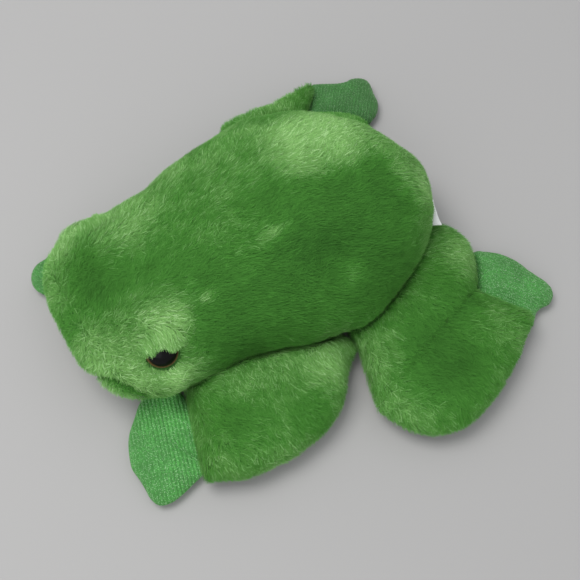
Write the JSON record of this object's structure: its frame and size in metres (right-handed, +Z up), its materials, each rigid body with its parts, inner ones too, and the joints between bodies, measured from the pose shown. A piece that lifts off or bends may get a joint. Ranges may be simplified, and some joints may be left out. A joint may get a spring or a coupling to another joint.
{
  "type": "plush frog",
  "caption": "Stuffed plush frog lying flat on its belly, with domed eyes, floppy folded limbs and ribbed knit hands and feet.",
  "frame": {"origin": "on the surface it lies on, under the flat of the belly, level with the body's widest part", "axes": "+Y runs from the belly towards the rump, so the frog looks along -Y; +X is the frog's own left; +Z is up"},
  "size_m": [0.2495, 0.2619, 0.072],
  "materials": {
    "back_cover": "short-pile plush, green with lighter tips",
    "belly_cover": "short-pile plush, green with lighter tips",
    "body_filling": "loose white polyester fibre filling",
    "head_cover": "short-pile plush, green with lighter tips",
    "chin_cover": "short-pile plush, green with lighter tips",
    "head_filling": "loose white polyester fibre filling",
    "eye_left": "glossy dome, dark amber-brown with a black pupil",
    "eye_right": "glossy dome, dark amber-brown with a black pupil",
    "eye_washer_left": "plain moulded plastic",
    "eye_washer_right": "plain moulded plastic",
    "sewn_label": "smooth woven tape, white, blank",
    "arm_left_upper_cover": "short-pile plush, green with lighter tips",
    "arm_left_under_cover": "short-pile plush, green with lighter tips",
    "arm_left_filling": "loose white polyester fibre filling",
    "thigh_left_upper_cover": "short-pile plush, green with lighter tips",
    "thigh_left_under_cover": "short-pile plush, green with lighter tips",
    "thigh_left_filling": "loose white polyester fibre filling",
    "shank_left_upper_cover": "short-pile plush, green with lighter tips",
    "shank_left_under_cover": "short-pile plush, green with lighter tips",
    "shank_left_filling": "loose white polyester fibre filling",
    "hand_left": "ribbed knit, green, thinly padded",
    "foot_left": "ribbed knit, green, thinly padded",
    "arm_right_upper_cover": "short-pile plush, green with lighter tips",
    "arm_right_under_cover": "short-pile plush, green with lighter tips",
    "arm_right_filling": "loose white polyester fibre filling",
    "thigh_right_upper_cover": "short-pile plush, green with lighter tips",
    "thigh_right_under_cover": "short-pile plush, green with lighter tips",
    "thigh_right_filling": "loose white polyester fibre filling",
    "shank_right_upper_cover": "short-pile plush, green with lighter tips",
    "shank_right_under_cover": "short-pile plush, green with lighter tips",
    "shank_right_filling": "loose white polyester fibre filling",
    "hand_right": "ribbed knit, green, thinly padded",
    "foot_right": "ribbed knit, green, thinly padded"
  },
  "bodies": {
    "torso": {"back_cover": "back_cover", "belly_cover": "belly_cover", "body_filling": "body_filling", "head_cover": "head_cover", "chin_cover": "chin_cover", "head_filling": "head_filling", "eye_left": "eye_left", "eye_right": "eye_right", "eye_washer_left": "eye_washer_left", "eye_washer_right": "eye_washer_right", "sewn_label": "sewn_label"},
    "arm_left": {"arm_left_upper_cover": "arm_left_upper_cover", "arm_left_under_cover": "arm_left_under_cover", "arm_left_filling": "arm_left_filling"},
    "thigh_left": {"thigh_left_upper_cover": "thigh_left_upper_cover", "thigh_left_under_cover": "thigh_left_under_cover", "thigh_left_filling": "thigh_left_filling"},
    "shank_left": {"shank_left_upper_cover": "shank_left_upper_cover", "shank_left_under_cover": "shank_left_under_cover", "shank_left_filling": "shank_left_filling"},
    "hand_left": {"hand_left": "hand_left"},
    "foot_left": {"foot_left": "foot_left"},
    "arm_right": {"arm_right_upper_cover": "arm_right_upper_cover", "arm_right_under_cover": "arm_right_under_cover", "arm_right_filling": "arm_right_filling"},
    "thigh_right": {"thigh_right_upper_cover": "thigh_right_upper_cover", "thigh_right_under_cover": "thigh_right_under_cover", "thigh_right_filling": "thigh_right_filling"},
    "shank_right": {"shank_right_upper_cover": "shank_right_upper_cover", "shank_right_under_cover": "shank_right_under_cover", "shank_right_filling": "shank_right_filling"},
    "hand_right": {"hand_right": "hand_right"},
    "foot_right": {"foot_right": "foot_right"}
  },
  "joints": [
    {"name": "shoulder_left", "type": "hinge", "parent": "torso", "child": "arm_left", "pos_m": [0.06021, -0.092, 0.028], "axis": [-0.1495, -0.9888, 0], "range_deg": [0, 40]},
    {"name": "wrist_left", "type": "hinge", "parent": "arm_left", "child": "hand_left", "pos_m": [0.08163, -0.0925, 0.01], "axis": [-0.9646, 0.2639, 0], "range_deg": [0, 25]},
    {"name": "hip_left", "type": "hinge", "parent": "torso", "child": "thigh_left", "pos_m": [0.08255, 0.0185, 0.028], "axis": [0.4478, -0.8942, 0], "range_deg": [0, 40]},
    {"name": "knee_left", "type": "hinge", "parent": "thigh_left", "child": "shank_left", "pos_m": [0.1153, 0.00269, 0], "axis": [0, 0, -1], "range_deg": [0, 50]},
    {"name": "ankle_left", "type": "hinge", "parent": "shank_left", "child": "foot_left", "pos_m": [0.07897, 0.08797, 0.011], "axis": [0.8327, 0.5538, 0], "range_deg": [0, 40]},
    {"name": "shoulder_right", "type": "hinge", "parent": "torso", "child": "arm_right", "pos_m": [-0.06021, -0.092, 0.028], "axis": [-0.1495, 0.9888, 0], "range_deg": [0, 40]},
    {"name": "wrist_right", "type": "hinge", "parent": "arm_right", "child": "hand_right", "pos_m": [-0.06973, -0.08925, 0.01], "axis": [0, 0, -1], "range_deg": [0, 25]},
    {"name": "hip_right", "type": "hinge", "parent": "torso", "child": "thigh_right", "pos_m": [-0.08255, 0.0185, 0.028], "axis": [0.4478, 0.8942, 0], "range_deg": [0, 40]},
    {"name": "knee_right", "type": "hinge", "parent": "thigh_right", "child": "shank_right", "pos_m": [-0.09103, 0.01147, 0], "axis": [0, 0, 1], "range_deg": [0, 50]},
    {"name": "ankle_right", "type": "hinge", "parent": "shank_right", "child": "foot_right", "pos_m": [-0.0729, 0.07184, 0.011], "axis": [0.7862, -0.6179, 0], "range_deg": [0, 40]}
  ]
}
